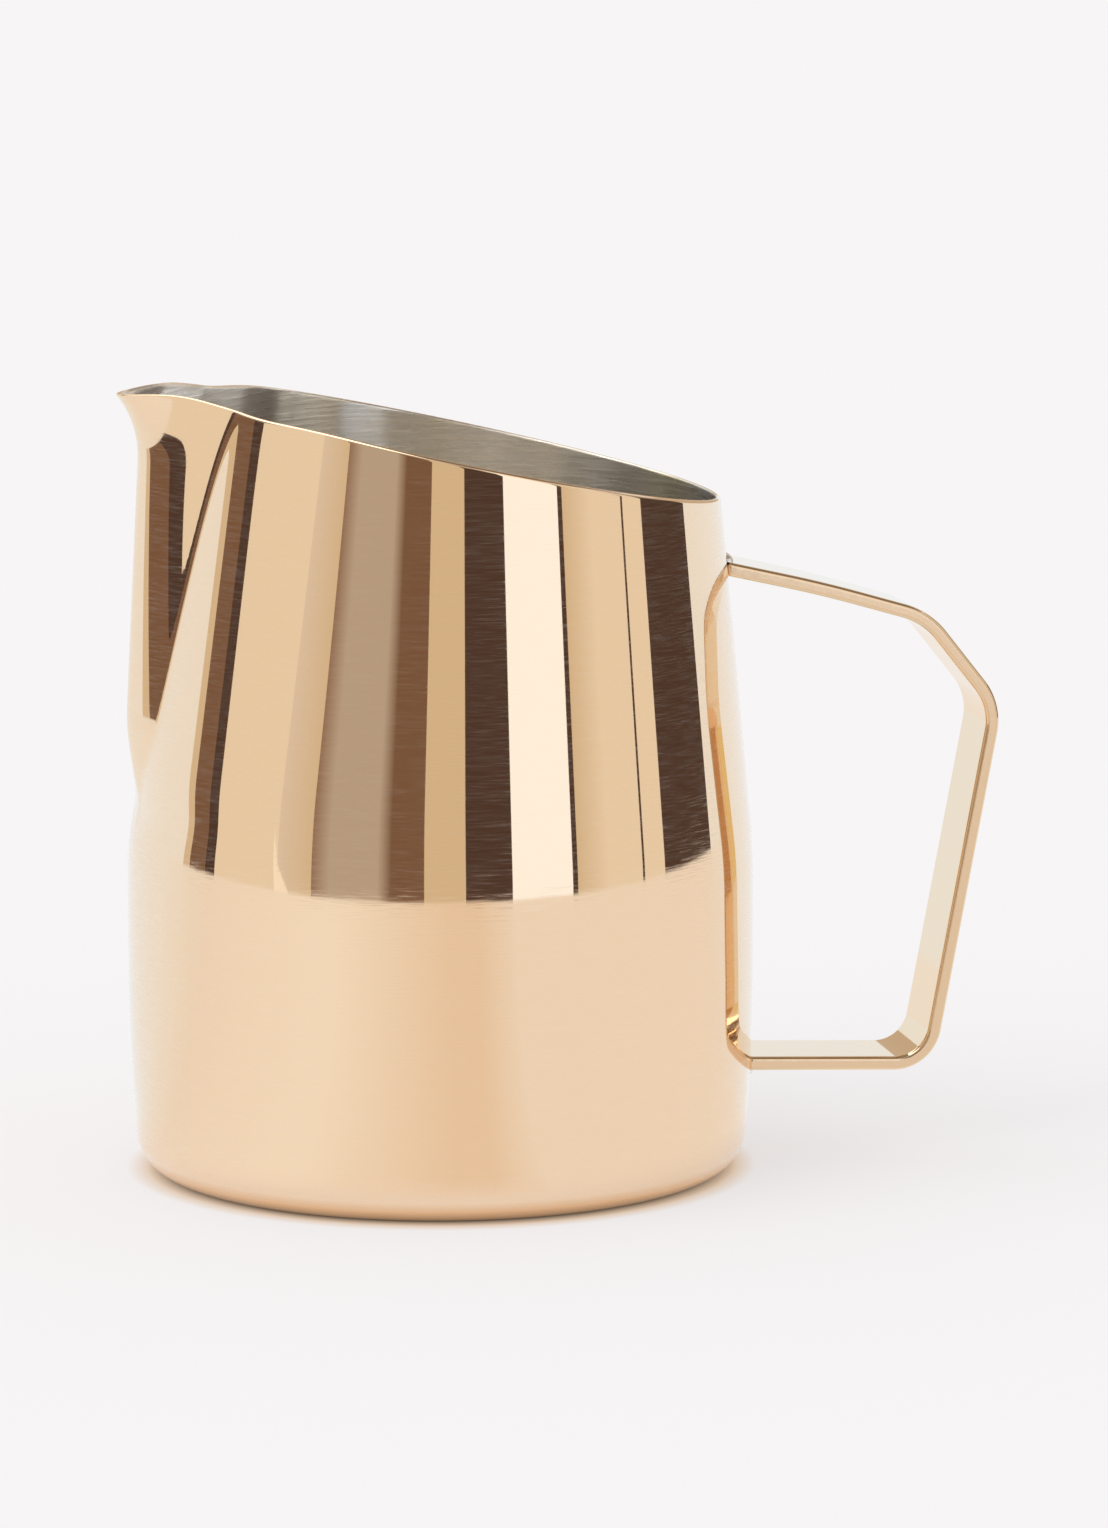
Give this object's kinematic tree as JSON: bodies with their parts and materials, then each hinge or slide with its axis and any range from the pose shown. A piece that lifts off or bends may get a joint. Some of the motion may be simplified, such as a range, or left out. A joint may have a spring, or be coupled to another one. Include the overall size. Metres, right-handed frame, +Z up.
{
  "type": "milk frothing jug",
  "caption": "Steel jug for frothing and pouring milk: round drawn body, slanted rim, pressed pouring spout and a bent strip handle welded to the wall.",
  "frame": {"origin": "centre of the flat base, on the axis of the round body, on the surface that the jug stands on", "axes": "+Z up, +X towards the handle, -X towards the spout; the jug is mirror symmetric about the XZ plane"},
  "size_m": [0.1276, 0.09, 0.1135],
  "materials": {
    "polished_body": "rose-gold coated steel, mirror polished outside with faint brushing round it, bare brushed steel inside",
    "handle_strip": "rose-gold coated steel strip, smooth faces and finely brushed edges",
    "weld_bead": "bright weld metal, slightly rough"
  },
  "bodies": {
    "root": {"jug_body": "polished_body", "handle": "handle_strip", "upper_weld": "weld_bead", "lower_weld": "weld_bead"}
  },
  "joints": []
}
